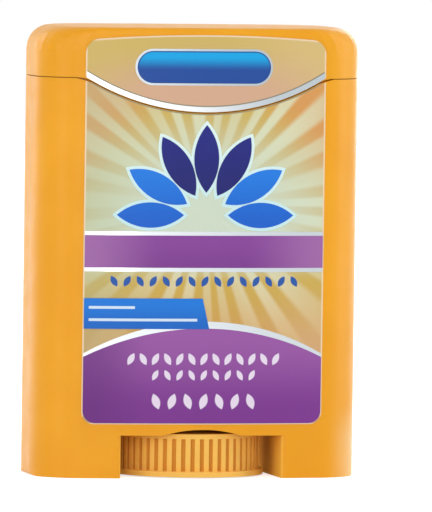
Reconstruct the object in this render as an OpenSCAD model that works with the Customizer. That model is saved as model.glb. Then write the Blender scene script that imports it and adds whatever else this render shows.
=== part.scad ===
// Flat oval twist-up deodorant stick: a barrel on two hollow feet, a ribbed dial between them, a lift screw,
// a platform that carries the bar, a seal cover and a flush cap. All sizes are millimetres.
// X is the width, Y the depth (the front faces -Y) and Z is up. The origin is on the ground,
// on the dial's axis.

/* [Case] */
// Width of the case
body_w = 61.8; // [58:0.2:66]
// Depth of the case
body_d = 27.5; // [26:0.5:31]
// Radius of the gently curved front and back faces
face_r = 190; // [150:5:260]
// Plan radius of the case's rounded corners
end_r = 9.5; // [8.5:0.25:10.5]
// Height of the closed stick
total_h = 84; // [82:0.5:92]
// Radius of the feet's outer corners, seen from the front
toe_r = 0.8; // [0.3:0.1:1.6]

/* [Parting line] */
// How far the parting line lies under the top, at the middle of the front
part_down = 15.9; // [15:0.1:17.5]
// How far the parting line climbs from the middle to the label's edges
part_rise = 6.4; // [4.5:0.1:6.8]
// Radius of the bend where the climbing line turns level
part_bend_r = 6; // [3:0.5:8]
// Gap between the cap and the shoulder it closes on
part_gap = 0.15; // [0.1:0.05:0.3]

/* [Walls] */
// Thickness of the cap's wall
cap_wall = 1.1; // [0.9:0.05:1.3]
// Thickness of the cap's top
cap_top = 1.3; // [1:0.1:2]
// Running clearance between the cap and the neck
cap_clear = 0.2; // [0.15:0.05:0.3]
// Thickness of the barrel's neck
neck_wall = 1; // [0.8:0.05:1.2]
// How far the neck's rim lies under the top
neck_down = 7; // [6:0.25:8]
// Thickness of the feet's walls
foot_wall = 1.5; // [1.2:0.1:2]
// Radius of the cap's top edge along the front and back
crown_r = 1.1; // [0.8:0.1:1.6]
// Radius of the cap's top edge at the narrow ends
crown_end_r = 4.5; // [2.5:0.5:6]

/* [Base] */
// Width of the window that the dial turns in
window_w = 30.6; // [30:0.2:32]
// Height of the window at its sides
window_h = 8; // [7.8:0.1:8.1]
// How far the window's lintel arches up in the middle
arch_rise = 1.1; // [1:0.1:1.7]
// Width of the lintel's arch
arch_w = 15; // [14:0.5:20]
// Radius of the feet's upright edges beside the window
window_edge_r = 0.8; // [0.4:0.1:1]
// Height of the barrel's floor above the ground
deck_z = 11; // [10.8:0.1:12]
// Thickness of the roof over each hollow foot
foot_roof = 1.5; // [1.2:0.1:2]

/* [Dial] */
// Gap between the dial's flange and the window's sides
flange_gap = 1; // [0.8:0.1:1.4]
// How far the flange stands out past the ribs
flange_out = 0.9; // [0.5:0.1:1.4]
// Height of the flange's edge
flange_h = 1; // [0.8:0.1:1.4]
// Ground clearance under the dial
dial_lift = 0.2; // [0.2:0.1:0.8]
// Height of the dial's top face above the ground
dial_z = 8.2; // [8:0.05:8.25]
// Height of the plain band above the ribs
band_h = 0.9; // [0.6:0.1:1.4]
// Number of grooves round the dial
grooves = 48; // [36:1:54]
// Radius of one groove
groove_r = 0.42; // [0.3:0.02:0.5]
// Depth of one groove
groove_depth = 0.38; // [0.2:0.02:0.46]
// Thickness of the dial's rim wall
rim_wall = 1.6; // [1.2:0.1:2]
// Thickness of the dial's top plate
plate_t = 1.4; // [1.2:0.1:2]
// Number of webs under the dial
webs = 6; // [4:1:8]
// Thickness of one web
web_t = 1; // [0.8:0.1:1.4]
// Thickness of the dial's hub outside the drive's corners
hub_wall = 1.6; // [1.2:0.1:2]
// Thickness of the floor under the drive's socket
socket_floor = 1.8; // [1.2:0.1:2.4]

/* [Lift screw] */
// Outer radius of the screw's thread
screw_r = 3.6; // [3.2:0.1:4]
// How far the screw's tip lies under the top
screw_down = 15; // [14.5:0.5:24]
// Height of the screw's chamfered tip
tip_h = 1.2; // [0.6:0.1:1.8]
// Radius of the journal that turns in the barrel's floor
journal_r = 4.1; // [4:0.05:4.6]
// Running clearance round the journal
journal_clear = 0.06; // [0.04:0.01:0.1]
// Radius of the flange that bears on the barrel's floor
thrust_r = 6.5; // [6:0.25:8]
// Thickness of that flange
thrust_t = 1.1; // [0.9:0.1:1.4]
// Play between the flange and the floor
thrust_gap = 0.1; // [0.08:0.02:0.2]
// Side of the square drive that plugs into the dial
drive_s = 5; // [4.5:0.1:5.4]
// Clearance on each side of the square drive
drive_clear = 0.05; // [0.03:0.01:0.1]
// Gap under the end of the square drive
drive_gap = 0.2; // [0.1:0.05:0.3]
// Gap between the dial and the bearing boss above it
boss_gap = 0.15; // [0.1:0.05:0.2]
// Gap between the dial's top and the roof of the round recess above it
recess_gap = 0.4; // [0.3:0.1:0.6]
// Clearance between the dial's ribs and the side of that recess
recess_clear = 0.6; // [0.4:0.1:0.9]

/* [Platform] */
// Running clearance between the platform's skirt and the barrel
platform_clear = 0.3; // [0.2:0.05:0.4]
// Height of the platform's top face
platform_z = 17.8; // [17:0.1:20]
// Thickness of the platform
platform_t = 1.4; // [1.2:0.1:2]
// Thickness of the platform's skirt
skirt_t = 1; // [0.8:0.1:1.4]
// Gap between the skirt and the barrel's floor at the bottom of the travel
skirt_gap = 0.4; // [0.3:0.1:0.8]
// Outer radius of the nut
nut_r = 6; // [5.4:0.1:7]
// Running clearance between the nut and the screw
nut_clear = 0.1; // [0.06:0.02:0.2]
// How far the nut stands up into the bar
nut_up = 5; // [3:0.5:8]
// Gap between the nut and the screw's flange at the bottom of the travel
nut_gap = 0.4; // [0.3:0.1:0.8]
// Distance of the bar's two keys from the axis
key_x = 16; // [12:0.5:19]
// Height of the keys
key_h = 9; // [5:0.5:14]
// Thickness of the keys
key_t = 1.4; // [1:0.1:2]

/* [Bar] */
// Clearance between the bar and the barrel
bar_clear = 0.35; // [0.25:0.05:0.5]
// How far the bar's crest lies under the top
bar_down = 11; // [10.5:0.25:12]
// Radius of the bar's crest along its width
bar_long_r = 100; // [80:5:160]
// Radius of the bar's crest across its depth
bar_cross_r = 36; // [26:1:50]
// Clearance round the screw inside the bar
bore_clear = 0.4; // [0.3:0.1:1]
// Room over the screw's tip inside the bar
bore_head = 0.6; // [0.4:0.1:1]

/* [Seal cover] */
// Thickness of the seal cover
seal_t = 0.7; // [0.5:0.1:0.9]
// Gap between the seal cover and the bar
seal_gap = 0.1; // [0.05:0.05:0.2]
// How far the cover's upstanding rim lies under the top
seal_rim_down = 7.6; // [7.2:0.1:8]
// How far the cover's pull tab lies under the top
tab_down = 6.7; // [6.6:0.1:7.5]
// Width of the cover's pull tab
tab_w = 10; // [8:0.5:14]

/* [Labels] */
// Width of the front label, measured straight across
label_w = 45.8; // [42:0.2:46]
// Height of the label's bottom edge
label_z = 10.1; // [9.8:0.1:11.5]
// How far the label's top edge lies under the top, at the middle
label_down = 1.3; // [1.2:0.1:2.5]
// How far the label's top edge drops at its corners
label_drop = 0.8; // [0.2:0.1:1.2]
// Radius of the label's bottom corners
label_low_r = 2.3; // [1.5:0.1:4]
// Radius of the label's top corners
label_high_r = 2.8; // [1.5:0.1:4]
// Thickness of the adhesive between a label and the case
glue_t = 0.03; // [0.03:0.01:0.06]
// Thickness of the label's film
film_t = 0.15; // [0.1:0.01:0.2]
// Thickness of one printed layer
ink_t = 0.06; // [0.04:0.01:0.08]
// How far the labels stop short of the parting line
label_short = 0.1; // [0.05:0.05:0.3]
// Bare edge of film left beside the print
print_edge = 0.2; // [0.1:0.05:0.4]
// Width of the back label
back_w = 43; // [38:0.5:46]
// How far the back label's top edge lies under the top
back_down = 19; // [18:0.5:26]

/* [Print] */
// Thickness of the silver sweep along the cap's edge
sweep_t = 0.95; // [0.8:0.05:1.8]
// Width of the badge
badge_w = 26.2; // [20:0.2:30]
// Height of the badge
badge_h = 6.8; // [5:0.1:8]
// How far the badge's centre lies under the top
badge_down = 7.3; // [6.5:0.1:9]
// How far the badge's centre lies to the left of the middle
badge_left = 0.6; // [0:0.1:1.5]
// Width of the badge's silver rim
badge_rim = 0.4; // [0.3:0.05:0.9]
// Where the band's bottom edge lies, as a share of the height from the label's foot to the parting line
band_ratio = 0.504; // [0.49:0.002:0.53]
// Height of the band, as a share of that height
band_h_ratio = 0.1035; // [0.09:0.0005:0.12]
// Width of the silver rules along the band
rule_t = 0.75; // [0.3:0.05:1]
// Where the flag's bottom edge lies, as a share of that height
flag_ratio = 0.307; // [0.29:0.001:0.33]
// Height of the flag
flag_h = 5.7; // [4:0.1:7]
// How far the flag's slanted end reaches past the middle
flag_reach = 0.9; // [-3:0.1:4]
// How far the flag's end slants
flag_slant = 1.3; // [0:0.1:3]
// Where the dome's crest lies, as a share of that height
dome_ratio = 0.309; // [0.29:0.001:0.33]
// How far the dome drops to the label's edges
dome_drop = 5.45; // [4:0.05:7]
// Thickness of the silver arc at the dome's crest
dome_arc_t = 1.3; // [0.6:0.1:1.8]
// Thickness of the silver arc at the label's edges
dome_arc_end = 0.6; // [0.3:0.1:1]
// Number of petals in the fan
petals = 7; // [5:2:9]
// Greatest width of a petal, as a share of its length
petal_w_ratio = 0.375; // [0.2:0.005:0.39]
// How far a petal's root lies from the fan's point, as a share of the fan's radius
petal_root_ratio = 0.25; // [0.24:0.01:0.5]
// Where the tallest petal ends, as a share of the height from the label's foot to the parting line
fan_ratio = 0.963; // [0.93:0.001:0.972]
// Room between the band and the lowest petals
fan_foot = 0.15; // [0.1:0.05:1]
// Width of the pale outline round each petal
petal_edge = 0.55; // [0.3:0.05:0.9]
// Greatest lean of the petals that are printed navy, in degrees
navy_angle = 46; // [35:1:50]

/* [Hidden] */
$fn = 96;

eps = 0.01;
over = 1;
far = 200;
corner_proud = 0.01;
fine_fn = 240;
groove_fn = 16;
half_w = body_w / 2;
half_d = body_d / 2;
half_label = label_w / 2;
face_off = face_r - half_d;
part_z = total_h - part_down;
neck_z = total_h - neck_down;
screw_top = total_h - screw_down;
bar_top = total_h - bar_down;
flange_r = window_w / 2 - flange_gap;
dial_r = flange_r - flange_out;
label_top = total_h - label_down;
label_span = part_z - label_z;
band_z = label_z + band_ratio * label_span;
band_print_h = band_h_ratio * label_span;
flag_z = label_z + flag_ratio * label_span;
dome_z = label_z + dome_ratio * label_span;
fan_low = band_z + band_print_h + rule_t + fan_foot + petal_edge;
fan_high = label_z + fan_ratio * label_span;
fan_lean = petal_w_ratio * (1 - petal_root_ratio) / 2;
fan_z = (fan_low + fan_lean * fan_high) / (1 + fan_lean);
petal_root = petal_root_ratio * (fan_high - fan_z);
petal_l = fan_high - fan_z - petal_root;
petal_w = petal_w_ratio * petal_l;
neck_in = cap_wall + cap_clear;
bore_in = neck_in + neck_wall;
platform_in = bore_in + platform_clear;
bar_in = bore_in + bar_clear;
bore_r = journal_r + journal_clear;
thrust_z = deck_z + thrust_gap;
boss_z = dial_z + boss_gap;
skirt_z = deck_z + skirt_gap;
nut_z = thrust_z + thrust_t + nut_gap;
tip_z = screw_top - tip_h;
hub_r = drive_s / sqrt(2) + hub_wall;
drive_z = dial_lift + socket_floor;
shell_r = dial_r - rim_wall;
part_side_z = part_z + part_rise;
part_r = rise_r(half_label, part_rise);
part_c = part_z + part_r;
inner_top = total_h - cap_top;
crown_z = total_h - crown_end_r;
crown_levels = 4;
crown_fn = 140;
crown_end_fn = 32;
level_t = 0.05;

// Radius of the arc through a chord's ends and a rise at its middle
function rise_r(half, rise) = (half * half + rise * rise) / (2 * rise);

// The plan: gently curved front and back faces that run into rounded corners, and straight ends. The corners
// stand a hair proud, so their arcs cross the faces' arcs. inx and iny draw the ends and the faces inwards.
module plan(inx = 0, iny = undef, face_fn = fine_fn) {
    in_y = is_undef(iny) ? inx : iny;
    big = face_r - in_y;
    r = end_r - in_y;
    end_x = half_w - inx;
    corner_x = end_x - r;
    corner_y = sqrt(pow(big - r + corner_proud, 2) - pow(corner_x, 2)) - face_off;
    intersection() {
        translate([0, face_off]) circle(big, $fn = face_fn);
        translate([0, -face_off]) circle(big, $fn = face_fn);
        square([2 * corner_x * big / (big - r), far], center = true);
    }
    square([2 * end_x, 2 * corner_y], center = true);
    for (sx = [-1, 1], sy = [-1, 1])
        translate([sx * corner_x, sy * corner_y]) circle(r);
}

module column(in, z0, z1) {
    translate([0, 0, z0]) linear_extrude(z1 - z0) plan(in);
}

// Turns a drawing of the front, with its height along Y, into a block right through the depth
module through() {
    rotate([90, 0, 0]) translate([0, 0, -far / 2]) linear_extrude(far) children();
}

// The bend where the climbing line turns level: its centre, and where it touches the climbing arc
function bend_of(g) =
    let (r = part_r - g, bend = part_bend_r + g, z = part_side_z + g - bend)
    let (x = sqrt(pow(r + bend, 2) - pow(part_c - z, 2)), k = r / (r + bend))
    [x, z, bend, x * k, part_c - (part_c - z) * k];

// The disc above the parting line's climbing arc; g lifts the arc
module above_arc(g = 0) {
    translate([0, part_c]) circle(part_r - g, $fn = fine_fn);
}

// The area below the parting line, drawn from the front without its round bends; g lifts the line
module below_parting(g = 0) {
    b = bend_of(g);
    line_z = part_side_z + g;
    difference() {
        polygon([
            [-far / 2, -far / 2], [far / 2, -far / 2], [far / 2, line_z], [b[0], line_z],
            [b[3], b[4]], [-b[3], b[4]], [-b[0], line_z], [-far / 2, line_z]
        ]);
        above_arc(g);
    }
}

// The two round bends of the parting line
module parting_bends(g = 0) {
    b = bend_of(g);
    for (s = [-1, 1])
        translate([s * b[0], b[1]]) circle(b[2]);
}

// The window between the feet, with its arched lintel, drawn from the front
module window_front() {
    arch = rise_r(arch_w / 2, arch_rise);
    translate([-window_w / 2, -far / 2]) square([window_w, window_h + far / 2]);
    intersection() {
        translate([0, window_h + arch_rise - arch]) circle(arch, $fn = fine_fn);
        translate([-window_w / 2, 0]) square([window_w, far]);
    }
}

// What comes off the feet to round their upright edges beside the window
module window_edges() {
    x = window_w / 2 + window_edge_r;
    y = sqrt(pow(face_r - window_edge_r, 2) - x * x) - face_off;
    lean = face_r / (face_r - window_edge_r);
    in_x = window_w / 2 - window_edge_r;
    out_y = y + window_edge_r + over;
    translate([0, 0, -over]) linear_extrude(window_h + over)
        for (sx = [-1, 1], sy = [-1, 1])
            mirrored(sx, sy) difference() {
                polygon([
                    [in_x, y], [window_w / 2, y], [x * lean, (y + face_off) * lean - face_off],
                    [x * lean, out_y], [in_x, out_y]
                ]);
                translate([x, y]) circle(window_edge_r);
            }
}

module mirrored(sx, sy) {
    mirror([sx < 0 ? 1 : 0, 0]) mirror([0, sy < 0 ? 1 : 0]) children();
}

// The window and the round recess that the dial's top turns in, without the bearing boss
module base_window() {
    difference() {
        union() {
            through() window_front();
            cylinder(r = dial_r + recess_clear, h = dial_z + recess_gap);
        }
        translate([0, 0, boss_z]) cylinder(r = thrust_r, h = far);
    }
}

// A hollow foot, open below, behind the window's side wall
module foot_pocket() {
    intersection() {
        column(foot_wall, -over, deck_z - foot_roof);
        for (s = [-1, 1])
            translate([s * (window_w / 2 + foot_wall + far / 2), 0, 0]) cube(far, center = true);
    }
}

// Rounds the outer corners of the feet, seen from the front
module toe_block() {
    through() union() {
        translate([-half_w, toe_r]) square([body_w, far]);
        translate([-half_w + toe_r, 0]) square([body_w - 2 * toe_r, far]);
        for (s = [-1, 1])
            translate([s * (half_w - toe_r), toe_r]) circle(toe_r);
    }
}

module barrel() {
    color("orange") difference() {
        union() {
            intersection() {
                column(0, 0, total_h);
                through() below_parting();
                toe_block();
            }
            intersection() {
                column(0, part_z - part_bend_r, total_h);
                through() parting_bends();
            }
            column(neck_in, part_z - part_bend_r, neck_z);
        }
        column(bore_in, deck_z, total_h);
        foot_pocket();
        base_window();
        window_edges();
        cylinder(r = bore_r, h = deck_z + over);
    }
}

module dial() {
    color("orange") difference() {
        union() {
            translate([0, 0, dial_lift]) cylinder(r = dial_r, h = dial_z - dial_lift);
            translate([0, 0, dial_lift]) cylinder(r = flange_r, h = flange_h);
        }
        for (i = [0 : grooves - 1])
            rotate([0, 0, i * 360 / grooves])
                translate([dial_r + groove_r - groove_depth, 0, dial_lift + flange_h])
                    cylinder(r = groove_r, h = dial_z - band_h - dial_lift - flange_h, $fn = groove_fn);
        difference() {
            cylinder(r = shell_r, h = dial_z - plate_t);
            translate([0, 0, dial_lift]) cylinder(r = hub_r, h = dial_z);
            for (i = [0 : webs - 1])
                rotate([0, 0, i * 360 / webs])
                    translate([0, -web_t / 2, dial_lift + flange_h]) cube([dial_r, web_t, dial_z]);
        }
        translate([0, 0, drive_z]) square_bar(drive_s + 2 * drive_clear, dial_z);
    }
}

module square_bar(side, h) {
    translate([-side / 2, -side / 2, 0]) cube([side, side, h]);
}

module lift_screw() {
    color("ivory") union() {
        translate([0, 0, drive_z + drive_gap]) square_bar(drive_s, dial_z - drive_z);
        translate([0, 0, dial_z]) cylinder(r = journal_r, h = thrust_z - dial_z);
        translate([0, 0, thrust_z]) cylinder(r = thrust_r, h = thrust_t);
        translate([0, 0, thrust_z]) cylinder(r = screw_r, h = tip_z - thrust_z);
        translate([0, 0, tip_z]) cylinder(r1 = screw_r, r2 = screw_r - tip_h, h = tip_h);
    }
}

// The nut and the keys that the bar is cast round
module bar_grips() {
    translate([0, 0, platform_z - eps]) cylinder(r = nut_r, h = nut_up + eps);
    for (s = [-1, 1])
        translate([s * key_x - key_t / 2, -half_d / 2, platform_z - eps]) cube([key_t, half_d, key_h + eps]);
}

module platform() {
    color("white") difference() {
        union() {
            difference() {
                column(platform_in, skirt_z, platform_z);
                column(platform_in + skirt_t, skirt_z - over, platform_z - platform_t);
            }
            translate([0, 0, nut_z]) cylinder(r = nut_r, h = platform_z - nut_z);
            bar_grips();
        }
        cylinder(r = screw_r + nut_clear, h = far);
    }
}

// A block whose crest curves along its width and across its depth
module crest(top, long_r, cross_r) {
    translate([0, 0, top - long_r]) rotate([90, 0, 0]) union() {
        rotate_extrude($fn = fine_fn) intersection() {
            translate([long_r - cross_r, 0]) circle(cross_r, $fn = fine_fn);
            translate([0, -half_d]) square([long_r, body_d]);
        }
        cylinder(r = long_r - cross_r / 2, h = body_d, center = true, $fn = fine_fn);
    }
}

module deodorant_bar() {
    color("floralwhite") difference() {
        intersection() {
            column(bar_in, platform_z, total_h);
            crest(bar_top, bar_long_r, bar_cross_r);
        }
        bar_grips();
        cylinder(r = screw_r + bore_clear, h = screw_top + bore_head);
    }
}

module seal_cover() {
    floor_z = bar_top + seal_gap;
    tab_root = floor_z + seal_t / 2;
    color("white", 0.6) union() {
        difference() {
            intersection() {
                column(platform_in, deck_z, total_h);
                crest(floor_z + seal_t, bar_long_r + seal_gap + seal_t, bar_cross_r + seal_gap + seal_t);
            }
            crest(floor_z, bar_long_r + seal_gap, bar_cross_r + seal_gap);
        }
        difference() {
            column(platform_in, deck_z, total_h - seal_rim_down);
            column(platform_in + seal_t, deck_z - over, total_h);
            crest(floor_z, bar_long_r + seal_gap, bar_cross_r + seal_gap);
        }
        translate([-tab_w / 2, -seal_t / 2, tab_root]) cube([tab_w, seal_t, total_h - tab_down - tab_root]);
    }
}

// One level of the cap's rounded top; in draws it inside the wall
module crown_level(z, in = 0) {
    end_arc = crown_end_r - in;
    face_rise = max(0, z - total_h + crown_r);
    inx = crown_end_r - sqrt(pow(end_arc, 2) - pow(z - crown_z, 2));
    iny = in > 0 ? in : crown_r - sqrt(pow(crown_r, 2) - pow(face_rise, 2));
    translate([0, 0, z - level_t]) linear_extrude(level_t) plan(inx, iny, crown_fn, $fn = crown_end_fn);
}

module cap() {
    color("orange") difference() {
        union() {
            column(0, part_z, crown_z);
            hull() {
                for (i = [0 : crown_levels])
                    crown_level(crown_z + (crown_end_r - crown_r) * sin(90 * i / crown_levels));
                for (i = [1 : crown_levels])
                    crown_level(total_h - crown_r + crown_r * sin(90 * i / crown_levels));
            }
        }
        through() below_parting(part_gap);
        through() parting_bends(part_gap);
        column(cap_wall, 0, crown_z);
        hull()
            for (i = [0 : crown_levels])
                crown_level(crown_z + (inner_top - crown_z) * sin(90 * i / crown_levels), cap_wall);
    }
}

// A skin on the front of the case between two offsets, cut to a drawing of the front
module skin(inner, outer) {
    intersection() {
        difference() {
            column(-outer, over, total_h);
            column(-inner, 0, total_h + over);
        }
        rotate([90, 0, 0]) linear_extrude(far) children();
    }
}

module film() {
    skin(glue_t, glue_t + film_t) children();
}

module ink(layer = 1) {
    base = glue_t + film_t + (layer - 1) * ink_t;
    skin(base, base + ink_t) children();
}

// The front label's whole outline, over the barrel and the cap
module label_outline(in = 0) {
    x = half_label - in;
    low = label_z + in;
    high = label_top - label_drop - in;
    arch = rise_r(x - label_high_r, label_drop);
    translate([-x, low + label_low_r]) square([2 * x, high - label_high_r - low - label_low_r]);
    translate([label_low_r - x, low]) square([2 * (x - label_low_r), high - label_high_r - low]);
    intersection() {
        translate([0, label_top - in - arch]) circle(arch, $fn = fine_fn);
        translate([label_high_r - x, low + label_low_r]) square([2 * (x - label_high_r), far]);
    }
    for (s = [-1, 1]) {
        translate([s * (x - label_low_r), low + label_low_r]) circle(label_low_r);
        translate([s * (x - label_high_r), high - label_high_r]) circle(label_high_r);
    }
}

// A plain rectangle with four round corners, standing on z0
module round_plate(w, z0, z1, r) {
    translate([-w / 2, z0 + r]) square([w, z1 - z0 - 2 * r]);
    translate([r - w / 2, z0]) square([w - 2 * r, z1 - z0]);
    for (s = [-1, 1], z = [z0 + r, z1 - r])
        translate([s * (w / 2 - r), z]) circle(r);
}

module front_label() {
    color("gold") intersection() {
        film() label_outline();
        through() below_parting(-label_short);
    }
}

module cap_label() {
    color("khaki") intersection() {
        film() label_outline();
        through() above_arc(part_gap + label_short);
    }
}

module back_label() {
    color("khaki") mirror([0, 1, 0]) film() back_outline();
}

module back_outline() {
    round_plate(back_w, label_z, total_h - back_down, label_low_r);
}

module sweep_foil() {
    lift = part_gap + label_short;
    color("silver") intersection() {
        ink() label_outline(print_edge);
        through() difference() {
            above_arc(lift);
            above_arc(lift + sweep_t);
        }
    }
}

// The badge's outline, round at both ends
module pill(w, h) {
    translate([-badge_left, total_h - badge_down]) union() {
        square([w - h, h], center = true);
        for (s = [-1, 1])
            translate([s * (w - h) / 2, 0]) circle(h / 2);
    }
}

module badge_foil() {
    color("gainsboro") ink() pill(badge_w, badge_h);
}

module badge_field() {
    color("royalblue") ink(2) pill(badge_w - 2 * badge_rim, badge_h - 2 * badge_rim);
}

// One petal pointing up from the fan's point: two arcs that meet at its tips
module petal(angle, grow = 0) {
    r = (petal_l * petal_l + petal_w * petal_w) / (4 * petal_w);
    translate([0, fan_z]) rotate(-angle) translate([0, petal_root + petal_l / 2]) intersection() {
        translate([r - petal_w / 2, 0]) circle(r + grow, $fn = fine_fn);
        translate([petal_w / 2 - r, 0]) circle(r + grow, $fn = fine_fn);
    }
}

function petal_angle(i) = -90 + 180 * i / (petals - 1);

// The fan's petals whose lean lies between two angles
module fan(from, to, grow = 0) {
    for (i = [0 : petals - 1])
        if (abs(petal_angle(i)) >= from && abs(petal_angle(i)) < to)
            petal(petal_angle(i), grow);
}

module petal_outline() {
    color("paleturquoise") ink() fan(0, far, petal_edge);
}

module petals_navy() {
    color("midnightblue") ink(2) fan(0, navy_angle);
}

module petals_blue() {
    color("dodgerblue") ink(2) fan(navy_angle, far);
}

module strip(z0, z1, half) {
    translate([-half, z0]) square([2 * half, z1 - z0]);
}

module band_foil() {
    color("silver") ink() intersection() {
        label_outline(print_edge);
        strip(band_z - rule_t, band_z + band_print_h + rule_t, half_label);
    }
}

module band_field() {
    color("darkorchid") ink(2) intersection() {
        label_outline(print_edge);
        strip(band_z, band_z + band_print_h, half_label);
    }
}

// Everything under an arc that drops from its crest to the label's edges
module dome(z, drop) {
    r = rise_r(half_label, drop);
    translate([0, z - r]) circle(r, $fn = fine_fn);
}

module dome_foil() {
    color("silver") ink() intersection() {
        label_outline(print_edge);
        difference() {
            dome(dome_z + dome_arc_t, dome_drop + dome_arc_t - dome_arc_end);
            dome(dome_z, dome_drop);
        }
        strip(label_z, dome_z + far, half_label);
    }
}

module dome_field() {
    color("darkmagenta") ink() intersection() {
        label_outline(print_edge);
        dome(dome_z, dome_drop);
    }
}

module flag_field() {
    color("dodgerblue") ink(2) polygon([
        [print_edge - half_label, flag_z], [flag_reach, flag_z],
        [flag_reach - flag_slant, flag_z + flag_h], [print_edge - half_label, flag_z + flag_h]
    ]);
}

module back_band() {
    color("darkorchid") mirror([0, 1, 0]) ink() intersection() {
        back_outline();
        strip(band_z, band_z + band_print_h, back_w / 2);
    }
}

barrel();
dial();
lift_screw();
platform();
deodorant_bar();
seal_cover();
cap();
front_label();
cap_label();
back_label();
sweep_foil();
badge_foil();
badge_field();
petal_outline();
petals_navy();
petals_blue();
band_foil();
band_field();
dome_foil();
dome_field();
flag_field();
back_band();
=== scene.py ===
"""Looks for an oval twist-up deodorant stick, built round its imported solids. Lengths are metres unless a name says mm."""

import math

import bmesh
import bpy
from mathutils import Matrix, Vector


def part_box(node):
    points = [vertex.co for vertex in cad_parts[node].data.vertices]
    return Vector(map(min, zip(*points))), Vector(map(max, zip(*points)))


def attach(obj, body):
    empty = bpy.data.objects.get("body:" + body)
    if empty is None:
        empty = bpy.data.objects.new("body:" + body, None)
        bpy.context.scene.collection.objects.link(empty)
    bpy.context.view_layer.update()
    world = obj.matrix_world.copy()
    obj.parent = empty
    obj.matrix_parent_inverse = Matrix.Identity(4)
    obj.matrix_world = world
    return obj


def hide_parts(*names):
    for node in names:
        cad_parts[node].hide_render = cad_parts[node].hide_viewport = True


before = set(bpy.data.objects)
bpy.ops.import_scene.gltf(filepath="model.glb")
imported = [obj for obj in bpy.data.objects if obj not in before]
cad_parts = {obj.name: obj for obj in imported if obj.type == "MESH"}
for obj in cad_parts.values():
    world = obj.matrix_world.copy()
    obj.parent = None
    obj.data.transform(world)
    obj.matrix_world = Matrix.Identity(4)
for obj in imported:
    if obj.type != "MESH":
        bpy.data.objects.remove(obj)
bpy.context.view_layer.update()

MM = 0.001


# Node helpers


def srgb(text):
    """The linear colour of an sRGB hex such as EDA22A."""
    parts = [int(text[i : i + 2], 16) / 255 for i in (0, 2, 4)]
    return tuple(p / 12.92 if p <= 0.04045 else ((p + 0.055) / 1.055) ** 2.4 for p in parts) + (1.0,)


def add(tree, kind, inputs, **settings):
    """Adds a node. inputs maps socket names or numbers to values, or to the sockets that feed them."""
    made = tree.nodes.new(kind)
    for key, value in settings.items():
        setattr(made, key, value)
    for key, value in inputs.items():
        if isinstance(value, bpy.types.NodeSocket):
            tree.links.new(value, made.inputs[key])
        elif value is not None:
            made.inputs[key].default_value = value
    return made


class Field:
    """A number that a material works out at each point, written as plain arithmetic."""

    def __init__(self, tree, socket):
        self.tree, self.socket = tree, socket

    def math(self, operation, *others, flip=False, clamp=False):
        values = [self.socket] + [o.socket if isinstance(o, Field) else o for o in others]
        if flip:
            values.reverse()
        made = add(self.tree, "ShaderNodeMath", dict(enumerate(values)), operation=operation, use_clamp=clamp)
        return Field(self.tree, made.outputs[0])

    def __add__(self, o):
        return self.math("ADD", o)

    def __sub__(self, o):
        return self.math("SUBTRACT", o)

    def __rsub__(self, o):
        return self.math("SUBTRACT", o, flip=True)

    def __mul__(self, o):
        return self.math("MULTIPLY", o)

    def __truediv__(self, o):
        return self.math("DIVIDE", o)

    def __pow__(self, o):
        return self.math("POWER", o)

    def __abs__(self):
        return self.math("ABSOLUTE")

    def ramp(self, low, high, a=0.0, b=1.0):
        """Runs smoothly from a at low to b at high."""
        made = add(
            self.tree,
            "ShaderNodeMapRange",
            {0: self.socket, 1: low, 2: high, 3: a, 4: b},
            interpolation_type="SMOOTHSTEP",
        )
        return Field(self.tree, made.outputs[0])


class Surface:
    """A material on one Principled shader, with the object's own coordinates in mm as fields x, y and z."""

    def __init__(self, name, **constants):
        self.material = bpy.data.materials.new(name)
        self.material.use_nodes = True
        self.tree = self.material.node_tree
        self.shader = self.tree.nodes["Principled BSDF"]
        for key, value in constants.items():
            self.shader.inputs[key.replace("_", " ")].default_value = value
        place = add(self.tree, "ShaderNodeTexCoord", {})
        self.mm = add(
            self.tree, "ShaderNodeVectorMath", {0: place.outputs["Object"], 3: 1000.0}, operation="SCALE"
        ).outputs[0]
        axes = add(self.tree, "ShaderNodeSeparateXYZ", {0: self.mm})
        self.x, self.y, self.z = (Field(self.tree, axes.outputs[i]) for i in range(3))

    def noise(self, size_mm, detail=2.0, stretch=(1.0, 1.0, 1.0)):
        """Noise from 0 to 1 with features of about size_mm."""
        vector = add(self.tree, "ShaderNodeMapping", {0: self.mm, 3: stretch}, vector_type="POINT").outputs[0]
        made = add(self.tree, "ShaderNodeTexNoise", {"Vector": vector, "Scale": 1.0 / size_mm, "Detail": detail})
        return Field(self.tree, made.outputs["Fac"])

    def mix(self, factor, a, b):
        """The colour a where factor is 0 and b where it is 1; each is a hex or a colour socket."""
        a, b = (srgb(c) if isinstance(c, str) else c for c in (a, b))
        made = add(self.tree, "ShaderNodeMix", {0: factor.socket, 6: a, 7: b}, data_type="RGBA")
        return made.outputs[2]

    def colour(self, socket):
        self.tree.links.new(socket, self.shader.inputs["Base Color"])

    def rough(self, field):
        self.tree.links.new(field.socket, self.shader.inputs["Roughness"])

    def bump(self, field, depth_mm):
        """Raises the surface by depth_mm times the field."""
        made = add(self.tree, "ShaderNodeBump", {"Height": field.socket, "Distance": depth_mm * MM, "Strength": 1.0})
        self.tree.links.new(made.outputs[0], self.shader.inputs["Normal"])


def atan2(a, b):
    return a.math("ARCTAN2", b)


# Shapes that the print is made of, as fields that are 1 inside and 0 outside


def soft_edge(distance, blur=0.06):
    """1 where distance is under 0, with an edge blur mm wide."""
    return distance.ramp(blur, -blur)


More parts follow.
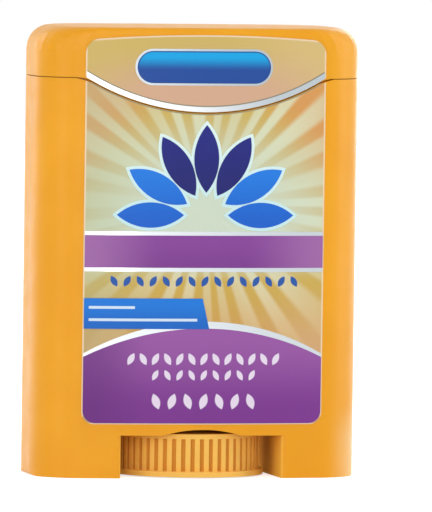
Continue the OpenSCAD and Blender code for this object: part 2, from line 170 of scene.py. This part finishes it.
def leaf_row(s, z0, pitch, reach, length, width, lean):
    """A row of small leaves, pitch mm apart over x within reach, leaning alternately to either side."""
    step = (s.x / pitch).math("ROUND")
    x = s.x - step * pitch
    z = s.z - z0
    side = (step * math.pi).math("COSINE")
    along = x * math.sin(lean) * side + z * math.cos(lean)
    across = x * math.cos(lean) - z * side * math.sin(lean)
    leaf = abs(across) / (width / 2) + (along / (length / 2)) ** 2 - 1.0
    return soft_edge(leaf, 0.12) * soft_edge(abs(step * pitch) - reach)


def rule(s, z0, thickness, reach):
    """A narrow straight line across the print."""
    return soft_edge(abs(s.z - z0) - thickness / 2, 0.04) * soft_edge(abs(s.x) - reach)


# Materials of the case and the works


def moulded(name, light, dark, roughness, peel_mm=0.9, peel_depth=0.004, **constants):
    """Moulded plastic: a little cloud in the colour, a fine peel, and a roughness that varies.

    Real peel is about 0.2 mm wide; it is drawn 0.9 mm wide, so that it shows.
    """
    s = Surface(name, IOR=1.49, **constants)
    s.colour(s.mix(s.noise(14.0, 3.0).ramp(0.3, 0.7), light, dark))
    s.rough(s.noise(3.5, 3.0).ramp(0.25, 0.75, roughness - 0.05, roughness + 0.06))
    s.bump(s.noise(peel_mm, 2.0), peel_depth)
    return s.material


# Polypropylene, tinted through and injection-moulded: a satin face, and edges that glow where light goes in.
ORANGE = {
    "Specular_IOR_Level": 0.3, "Subsurface_Weight": 0.2,
    "Subsurface_Radius": (1.0, 0.45, 0.12), "Subsurface_Scale": 1.5 * MM,
}
orange_pp = moulded("orange_polypropylene", "F4A917", "EFA312", 0.36, **ORANGE)
DIAL_R = 13.4


def dial_orange():
    """The case's orange, painted paler over the dial as painted light, with painted shade in the grooves between the
    ribs.
    """
    s = Surface("orange_dial", IOR=1.49, **{**ORANGE, "Specular_IOR_Level": 0.12})
    out = (s.x * s.x + s.y * s.y).math("SQRT")
    # Painted shade: the grooves between the ribs are painted a darker orange, D89234; the paler FFC862 elsewhere is
    # painted light.
    groove_shade = out.ramp(DIAL_R - 0.04, DIAL_R - 0.22) * soft_edge(s.z - 7.3, 0.1)
    groove_shade = groove_shade * soft_edge(12.6 - out, 0.1) * soft_edge(1.25 - s.z, 0.1)
    s.colour(s.mix(groove_shade, "FFC862", "D89234"))
    s.rough(s.noise(3.5, 3.0).ramp(0.25, 0.75, 0.45, 0.56))
    s.bump(s.noise(0.9, 2.0), 0.004)
    return s.material


def barrel_orange():
    """The case's orange, matt on the moulded faces inside the dial's window, where a paler orange is painted as
    painted light, and with a painted peach highlight on the right foot's front end.
    """
    s = Surface("orange_barrel", IOR=1.49, **ORANGE)
    face = 13.75 - s.x * s.x / 380.0
    inside = soft_edge(abs(s.x) - 15.6, 0.1) * soft_edge(s.z - 9.6, 0.1) * soft_edge(abs(s.y) + 0.15 - face, 0.1)
    case = s.mix(s.noise(14.0, 3.0).ramp(0.3, 0.7), "F4A917", "EFA312")
    # Painted highlight: a peach sheen, FFE0A8, on the front of the right foot's end.
    foot_end_sheen = s.x.ramp(24.0, 31.5) * s.z.ramp(14.0, 7.0) * s.y.ramp(4.0, -8.0) * 0.5
    # Painted light: the shaded faces inside the window get a paler orange, FFC24C.
    s.colour(s.mix(inside, s.mix(foot_end_sheen, case, "FFE0A8"), "FFC24C"))
    base_rough = s.noise(3.5, 3.0).ramp(0.25, 0.75, 0.31, 0.42)
    s.rough(base_rough + inside * 0.4)
    level = inside.ramp(0.0, 1.0, 0.3, 0.02)
    s.tree.links.new(level.socket, s.shader.inputs["Specular IOR Level"])
    s.bump(s.noise(0.9, 2.0), 0.004)
    return s.material
# Polypropylene without colour, injection-moulded: milky and satin.
natural_pp = moulded(
    "natural_polypropylene", "EAE8E0", "E3E0D6", 0.42,
    Subsurface_Weight=0.15, Subsurface_Radius=(1.0, 0.95, 0.85), Subsurface_Scale=1.5 * MM,
)
# A solid of wax and fatty alcohol, poured hot: matt off-white with shallow waves, as candle wax has.
waxy_bar = moulded(
    "waxy_solid", "F4F1E8", "EEEADF", 0.55, peel_mm=2.4, peel_depth=0.03,
    Subsurface_Weight=0.25, Subsurface_Radius=(1.0, 0.95, 0.85), Subsurface_Scale=2.5 * MM,
)
# Polypropylene without colour, moulded thin: part of what lies behind shows through.
clear_pp = moulded(
    "translucent_polypropylene", "F4F7F8", "EEF3F4", 0.32, peel_mm=6.0, peel_depth=0.002, Alpha=0.72,
)


# Materials of the print

# Polypropylene film with printed ink under gloss varnish: flat colour under a weak, slightly soft mirror.
VARNISH = {"Coat_Weight": 0.2, "Coat_Roughness": 0.14, "IOR": 1.48, "Specular_IOR_Level": 0.2}
BURST_Z = 51.2
RAYS = 31
ARC_Z, ARC_R, SWEEP_TOP = 112.27, 44.17, 1.2
TOP_ARC_R = 252.9


def from_arc(s):
    """Distance in mm from the centre of the parting line's climbing arc, seen from the front."""
    return (s.x * s.x + (s.z - ARC_Z) ** 2).math("SQRT")


def label_edge(s):
    """1 on the bare edge of film that runs round the front label."""
    side = soft_edge(22.62 - abs(s.x), 0.08)
    foot = soft_edge(s.z - 10.32, 0.08)
    top = soft_edge(TOP_ARC_R - 0.3 - (s.x * s.x + (s.z - 82.7 + TOP_ARC_R) ** 2).math("SQRT"), 0.08)
    return side.math("MAXIMUM", foot).math("MAXIMUM", top)


def varnished(s, roughness=0.3):
    s.rough(s.noise(12.0, 0.0).ramp(0.1, 0.9, roughness - 0.015, roughness + 0.015))
    return s.material


def sun_label():
    """Gold film with soft pale rays that fan out from a mint glow behind the petals, with painted shade along the
    parting line and towards the left edge.
    """
    s = Surface("gold_film_with_rays", **VARNISH)
    up = s.z - BURST_Z
    angle = atan2(up, s.x)
    far_out = (s.x * s.x + up * up).math("SQRT")
    glow_out = ((s.x / 1.45) ** 2 + (s.z - 47.0) ** 2).math("SQRT")
    wobble = (angle * 5 + 1.0).math("SINE") * 0.03 + (angle * 13).math("SINE") * 0.015
    wave = ((angle + wobble) * RAYS).math("SINE")
    uneven = (angle * 7 + 2.0).math("SINE").ramp(-1.0, 1.0, 0.65, 1.0) * s.x.ramp(-20.0, 20.0, 0.85, 1.1)
    rays = wave.ramp(-0.7, 0.6) * uneven * far_out.ramp(44.0, 16.0, 0.15, 0.9)
    corner = (abs(s.x) + up * 0.8).ramp(20.0, 34.0)
    ground = s.mix(s.z.ramp(22.0, 40.0), s.mix(s.x.ramp(4.0, 22.0), "D09A55", "D5A878"), s.mix(corner, "CDAE4E", "D99C58"))
    pale = s.mix(s.z.ramp(24.0, 44.0), "DFC08C", "DDDFBA")
    lit = s.mix(rays, ground, pale)
    glow = s.mix(glow_out.ramp(25.0, 6.0, 0.0, 0.95) * s.z.ramp(36.0, 42.0), lit, "D0DFCB")
    leaves = leaf_row(s, 36.8, 2.45, 18.6, 2.3, 1.15, 0.55)
    # Painted shade: a greyish line just under the parting line, where the cap's edge meets the label.
    arc_edge_shade = soft_edge(from_arc(s) - ARC_R - 0.3, 0.1)
    # Painted shade: the print turns darker and greener towards the left edge.
    shaded = s.mix(s.x.ramp(-8.0, -23.0) * 0.3, glow, "A2BC98")
    print_and_shade = s.mix(arc_edge_shade, s.mix(leaves, shaded, "2458A8"), "9A8F70")
    s.colour(s.mix(label_edge(s), print_and_shade, "F0D6B0"))
    return varnished(s)


def top_label():
    """Tan film, warmer below the badge, with a line of painted shade along the top of the silver sweep."""
    s = Surface("tan_film", **VARNISH)
    under_badge = ((s.x / 26.0) ** 2 + ((s.z - 70.5) / 9.0) ** 2).math("SQRT")
    # Painted shade: a greyish line just above the silver sweep's top edge.
    arc_edge_shade = soft_edge(ARC_R - SWEEP_TOP - 0.22 - from_arc(s), 0.1)
    film = s.mix(under_badge.ramp(1.3, 0.3), s.mix(s.x.ramp(0.0, 22.0), "D0B466", "D8BC7C"), "D6AC8E")
    print_and_shade = s.mix(arc_edge_shade, film, "8F8A78")
    s.colour(s.mix(label_edge(s), print_and_shade, "F0D6B0"))
    return varnished(s)


def plain_label():
    s = Surface("tan_film_back", **VARNISH)
    leaves = leaf_row(s, 57.0, 2.9, 12.0, 2.8, 1.4, 0.55)
    lines = rule(s, 34.0, 0.35, 16.0) + rule(s, 30.5, 0.35, 16.0) + rule(s, 27.0, 0.35, 16.0)
    s.colour(s.mix(leaves + lines, s.mix(s.z.ramp(15.0, 60.0), "D3AC74", "D6B765"), "6E3A7E"))
    return varnished(s)


def print_ink(name, low, high, z0, z1, side=None):
    """An ink that shades from low at z0 to high at z1, and, where side is given, towards side at the ends as a
    painted sheen.
    """
    s = Surface(name, **VARNISH)
    base = s.mix(s.z.ramp(z0, z1), low, high)
    s.colour(s.mix(abs(s.x).ramp(7.0, 23.0), base, side) if side else base)
    return s


def dome_ink():
    s = print_ink("deep_purple_ink", "7A308F", "9A58A6", 12.0, 27.0)
    rows = (
        leaf_row(s, 22.3, 2.3, 15.0, 2.5, 1.15, 0.5)
        + leaf_row(s, 19.3, 2.3, 10.5, 2.2, 1.0, 0.5)
        + leaf_row(s, 14.4, 3.0, 10.6, 3.1, 1.5, 0.35)
    )
    base = s.shader.inputs["Base Color"].links[0].from_socket
    # Painted shade: the purple turns darker towards the left edge.
    shaded = s.mix(s.x.ramp(-8.0, -23.0) * 0.6, base, "5E1C74")
    s.colour(s.mix(rows.math("MINIMUM", 1.0), shaded, "E9DDF0"))
    return varnished(s)


def flag_ink():
    s = print_ink("blue_flag_ink", "0C66C6", "127ADC", 28.0, 33.0)
    rows = rule(s, 31.9, 0.5, 60.0) * soft_edge(abs(s.x + 17.5) - 4.3) + rule(s, 29.6, 0.5, 60.0) * soft_edge(
        abs(s.x + 11.6) - 10.2
    )
    base = s.shader.inputs["Base Color"].links[0].from_socket
    s.colour(s.mix(rows, base, "D6E8F8"))
    return varnished(s)


def silver_foil(name, left, right, reach, glint=None):
    """Aluminium foil, hot-stamped: a soft bright metal, with a painted reflection that shades from left to right.

    glint is the place over x of a bright spot.
    """
    s = Surface(name, Metallic=0.75, Coat_Weight=0.25, Coat_Roughness=0.1)
    shaded = s.mix(s.x.ramp(-reach, reach), left, right)
    s.colour(s.mix(abs(s.x - glint).ramp(5.0, 0.8), shaded, "FFFFFF") if glint else shaded)
    s.rough(s.noise(6.0, 1.0).ramp(0.2, 0.8, 0.28, 0.34))
    return s.material


def badge_ink():
    """Blue that is bright along its top, deep below and dark along the rim."""
    s = print_ink("blue_badge_ink", "1A4A9C", "08A8E8", 76.0, 78.9)
    past_end = (abs(s.x + 0.6) - 9.7).math("MAXIMUM", 0.0)
    from_spine = (past_end**2 + (s.z - 76.7) ** 2).math("SQRT")
    base = s.shader.inputs["Base Color"].links[0].from_socket
    s.colour(s.mix(from_spine.ramp(2.6, 2.95), base, "1F4A92"))
    return varnished(s)


materials = {
    "barrel": barrel_orange(),
    "dial": dial_orange(),
    "cap": orange_pp,
    "lift_screw": natural_pp,
    "platform": natural_pp,
    "deodorant_bar": waxy_bar,
    "seal_cover": clear_pp,
    "front_label": sun_label(),
    "cap_label": top_label(),
    "back_label": plain_label(),
    "sweep_foil": silver_foil("silver_sweep", "F8FAFA", "B4BEC4", 16.0),
    "badge_foil": silver_foil("silver_rim", "BFC9D0", "AEBAC2", 13.0),
    "band_foil": silver_foil("silver_rule", "D9DDE0", "BCC4C9", 22.0, glint=-16.5),
    "dome_foil": silver_foil("silver_arc", "DADFE2", "C2CACF", 22.0),
    "badge_field": badge_ink(),
    "petal_outline": varnished(print_ink("pale_aqua_ink", "CDEFF2", "E2F8F6", 48.0, 66.0)),
    "petals_navy": varnished(print_ink("navy_ink", "14196C", "1C2280", 52.0, 66.0)),
    "petals_blue": varnished(print_ink("blue_ink", "0F60CC", "1C80E6", 46.0, 60.0)),
    # Painted sheen: the purple band turns paler at both ends, A067A8.
    "band_field": varnished(print_ink("purple_ink", "7E3A90", "87439A", 39.0, 45.0, "A067A8")),
    "dome_field": dome_ink(),
    "flag_field": flag_ink(),
    "back_band": varnished(print_ink("purple_ink_back", "7C368D", "853F97", 39.0, 45.0)),
}
for name, material in materials.items():
    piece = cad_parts[name]
    piece.data.materials.clear()
    piece.data.materials.append(material)


# The lift screw with its thread

DRIVE = 5.0 * MM
JOURNAL_R, FLANGE_R, CREST_R, CORE_R = 4.1 * MM, 6.5 * MM, 3.6 * MM, 2.7 * MM
LEAD = 5.0 * MM
drive_z, journal_z, flange_z, thread_z = 2.2 * MM, 8.2 * MM, 11.1 * MM, 12.2 * MM
tip_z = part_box("lift_screw")[1].z


def lathe(bm, rows, sides=48):
    """Turns rows of (radius, height) into a closed round body."""
    rings = []
    for radius, z in rows:
        turn = [2 * math.pi * i / sides for i in range(sides)]
        rings.append([bm.verts.new((radius * math.cos(a), radius * math.sin(a), z)) for a in turn])
    for low, high in zip(rings, rings[1:]):
        for i in range(sides):
            j = (i + 1) % sides
            bm.faces.new((low[i], low[j], high[j], high[i]))
    bm.faces.new(rings[0][::-1])
    bm.faces.new(rings[-1])


def thread_tree():
    """A ridge that climbs round a core: a helix swept with a tapered profile, joined to the geometry put in."""
    tree = bpy.data.node_groups.new("lift_thread", "GeometryNodeTree")
    for name, low in (("Turns", 11.0), ("Radius", CORE_R), ("Lead", LEAD), ("Start", thread_z)):
        tree.interface.new_socket(name, in_out="INPUT", socket_type="NodeSocketFloat").default_value = low
    tree.interface.new_socket("Geometry", in_out="INPUT", socket_type="NodeSocketGeometry")
    tree.interface.new_socket("Geometry", in_out="OUTPUT", socket_type="NodeSocketGeometry")
    given = tree.nodes.new("NodeGroupInput")
    height = add(tree, "ShaderNodeMath", {0: given.outputs["Turns"], 1: given.outputs["Lead"]}, operation="MULTIPLY")
    helix = add(
        tree,
        "GeometryNodeCurveSpiral",
        {
            "Resolution": 40,
            "Rotations": given.outputs["Turns"],
            "Start Radius": given.outputs["Radius"],
            "End Radius": given.outputs["Radius"],
            "Height": height.outputs[0],
        },
    )
    lift = add(tree, "ShaderNodeCombineXYZ", {2: given.outputs["Start"]})
    raised = add(
        tree, "GeometryNodeTransform", {"Geometry": helix.outputs[0], "Translation": lift.outputs[0]}
    )
    upright = add(tree, "GeometryNodeSetCurveNormal", {0: raised.outputs[0]}, mode="Z_UP")
    ridge = CREST_R - CORE_R
    profile = add(
        tree,
        "GeometryNodeCurvePrimitiveQuadrilateral",
        {"Height": 2 * ridge, "Bottom Width": 1.0 * MM, "Top Width": 2.6 * MM, "Offset": 0.0},
        mode="TRAPEZOID",
    )
    swept = add(
        tree,
        "GeometryNodeCurveToMesh",
        {"Curve": upright.outputs[0], "Profile Curve": profile.outputs[0], "Fill Caps": True},
    )
    joined = add(tree, "GeometryNodeJoinGeometry", {})
    tree.links.new(given.outputs["Geometry"], joined.inputs[0])
    tree.links.new(swept.outputs[0], joined.inputs[0])
    real = add(tree, "GeometryNodeRealizeInstances", {0: joined.outputs[0]})
    painted = add(tree, "GeometryNodeSetMaterial", {0: real.outputs[0], "Material": natural_pp})
    result = tree.nodes.new("NodeGroupOutput")
    tree.links.new(painted.outputs[0], result.inputs[0])
    return tree


def make_screw():
    bm = bmesh.new()
    bmesh.ops.create_cube(
        bm, size=1.0,
        matrix=Matrix.Translation((0, 0, (drive_z + journal_z + 0.2 * MM) / 2))
        @ Matrix.Diagonal((DRIVE, DRIVE, journal_z + 0.2 * MM - drive_z, 1)),
    )
    lathe(bm, [
        (JOURNAL_R, journal_z), (JOURNAL_R, flange_z), (FLANGE_R, flange_z), (FLANGE_R, thread_z),
        (CORE_R + 0.8 * MM, thread_z), (CORE_R, thread_z + 0.8 * MM), (CORE_R, tip_z - 1.2 * MM),
        (CORE_R - 1.2 * MM, tip_z),
    ])
    mesh = bpy.data.meshes.new("screw_core")
    bm.to_mesh(mesh)
    bm.free()
    core = bpy.data.objects.new("screw_core", mesh)
    bpy.context.scene.collection.objects.link(core)
    tree = thread_tree()
    growth = core.modifiers.new("thread", "NODES")
    growth.node_group = tree
    sizes = {"Turns": 10.8, "Radius": CORE_R, "Lead": LEAD, "Start": thread_z + 0.9 * MM}
    for item in tree.interface.items_tree:
        if item.in_out == "INPUT" and item.name in sizes:
            growth[item.identifier] = sizes[item.name]
    bpy.context.view_layer.update()
    solid = bpy.data.meshes.new_from_object(core.evaluated_get(bpy.context.evaluated_depsgraph_get()))
    bpy.data.objects.remove(core)
    screw = bpy.data.objects.new("threaded_screw", solid)
    bpy.context.scene.collection.objects.link(screw)
    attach(screw, "dial_and_screw")
    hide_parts("lift_screw")


make_screw()


# Floor, light and camera


def seen_rays(tree):
    """1 for what the camera sees, in mirrors and through glass too, and 0 for every ray that lights the object."""
    path = add(tree, "ShaderNodeLightPath", {})
    rays = [Field(tree, path.outputs[n]) for n in ("Is Camera Ray", "Is Glossy Ray", "Is Transmission Ray")]
    return rays[0].math("MAXIMUM", rays[1]).math("MAXIMUM", rays[2])


AMBIENT = 0.62
FLOOR_LIFT = 0.66

world = bpy.data.worlds.new("studio")
bpy.context.scene.world = world
world.use_nodes = True
sky = world.node_tree
sky.nodes.clear()
seen = seen_rays(sky)
ambient = add(sky, "ShaderNodeBackground", {"Color": (1, 1, 1, 1), "Strength": AMBIENT})
white = add(sky, "ShaderNodeBackground", {"Color": (1, 1, 1, 1), "Strength": 1.0})
mixed = add(sky, "ShaderNodeMixShader", {0: seen.socket, 1: ambient.outputs[0], 2: white.outputs[0]})
sky_out = sky.nodes.new("ShaderNodeOutputWorld")
sky.links.new(mixed.outputs[0], sky_out.inputs[0])

bm = bmesh.new()
bmesh.ops.create_grid(bm, x_segments=1, y_segments=1, size=1.5)
floor_mesh = bpy.data.meshes.new("floor")
bm.to_mesh(floor_mesh)
bm.free()
floor = bpy.data.objects.new("floor", floor_mesh)
bpy.context.scene.collection.objects.link(floor)
floor.location.z = -0.02 * MM
pale = bpy.data.materials.new("pale_floor")
pale.use_nodes = True
ground = pale.node_tree
ground.nodes.clear()
seen = seen_rays(ground)
matte = add(ground, "ShaderNodeBsdfDiffuse", {"Color": (0.9, 0.9, 0.9, 1)})
lifted = add(ground, "ShaderNodeEmission", {"Color": (1, 1, 1, 1), "Strength": (seen * FLOOR_LIFT).socket})
summed = add(ground, "ShaderNodeAddShader", {0: matte.outputs[0], 1: lifted.outputs[0]})
ground_out = ground.nodes.new("ShaderNodeOutputMaterial")
ground.links.new(summed.outputs[0], ground_out.inputs[0])
floor_mesh.materials.append(pale)


def softbox(name, place, aim, width, height, watts):
    data = bpy.data.lights.new(name, "AREA")
    data.shape, data.size, data.size_y, data.energy = "RECTANGLE", width, height, watts
    lamp = bpy.data.objects.new(name, data)
    bpy.context.scene.collection.objects.link(lamp)
    lamp.location = place
    lamp.rotation_mode = "QUATERNION"
    lamp.rotation_quaternion = (Vector(aim) - Vector(place)).to_track_quat("-Z", "Y")


MIDDLE = (0.0, 0.0, 0.042)
softbox("left_softbox", (-0.78, -0.50, 0.14), MIDDLE, 0.35, 0.8, 1.8)
softbox("right_softbox", (0.71, -0.12, 0.25), MIDDLE, 0.30, 0.8, 2.0)
softbox("front_softbox", (-0.22, -0.88, 0.26), MIDDLE, 0.5, 0.4, 1.6)
softbox("back_left_softbox", (-0.55, 0.75, 0.30), MIDDLE, 0.4, 0.6, 1.7)
softbox("back_right_softbox", (0.50, 0.80, 0.30), MIDDLE, 0.4, 0.6, 1.7)

CAMERA_AZIMUTH = math.radians(-12.5)
CAMERA_TILT = math.radians(2.9)
CAMERA_ROLL = math.radians(0.8)
DISTANCE = 2.0
AIM_RIGHT = 5.0 * MM
AIM_UP = 40.9 * MM

eye = bpy.data.cameras.new("camera")
eye.lens = 750.0
eye.sensor_width = 36.0
eye.clip_start, eye.clip_end = 0.01, 10.0
camera = bpy.data.objects.new("camera", eye)
bpy.context.scene.collection.objects.link(camera)
back = Vector((
    math.sin(CAMERA_AZIMUTH) * math.cos(CAMERA_TILT),
    -math.cos(CAMERA_AZIMUTH) * math.cos(CAMERA_TILT),
    math.sin(CAMERA_TILT),
))
right = Vector((math.cos(CAMERA_AZIMUTH), math.sin(CAMERA_AZIMUTH), 0.0))
aim = right * AIM_RIGHT + Vector((0.0, 0.0, AIM_UP))
camera.rotation_mode = "QUATERNION"
camera.location = aim + back * DISTANCE
facing = (-back).to_track_quat("-Z", "Y").to_matrix() @ Matrix.Rotation(CAMERA_ROLL, 3, "Z")
camera.rotation_quaternion = facing.to_quaternion()
bpy.context.scene.camera = camera
bpy.context.scene.view_settings.view_transform = "Standard"
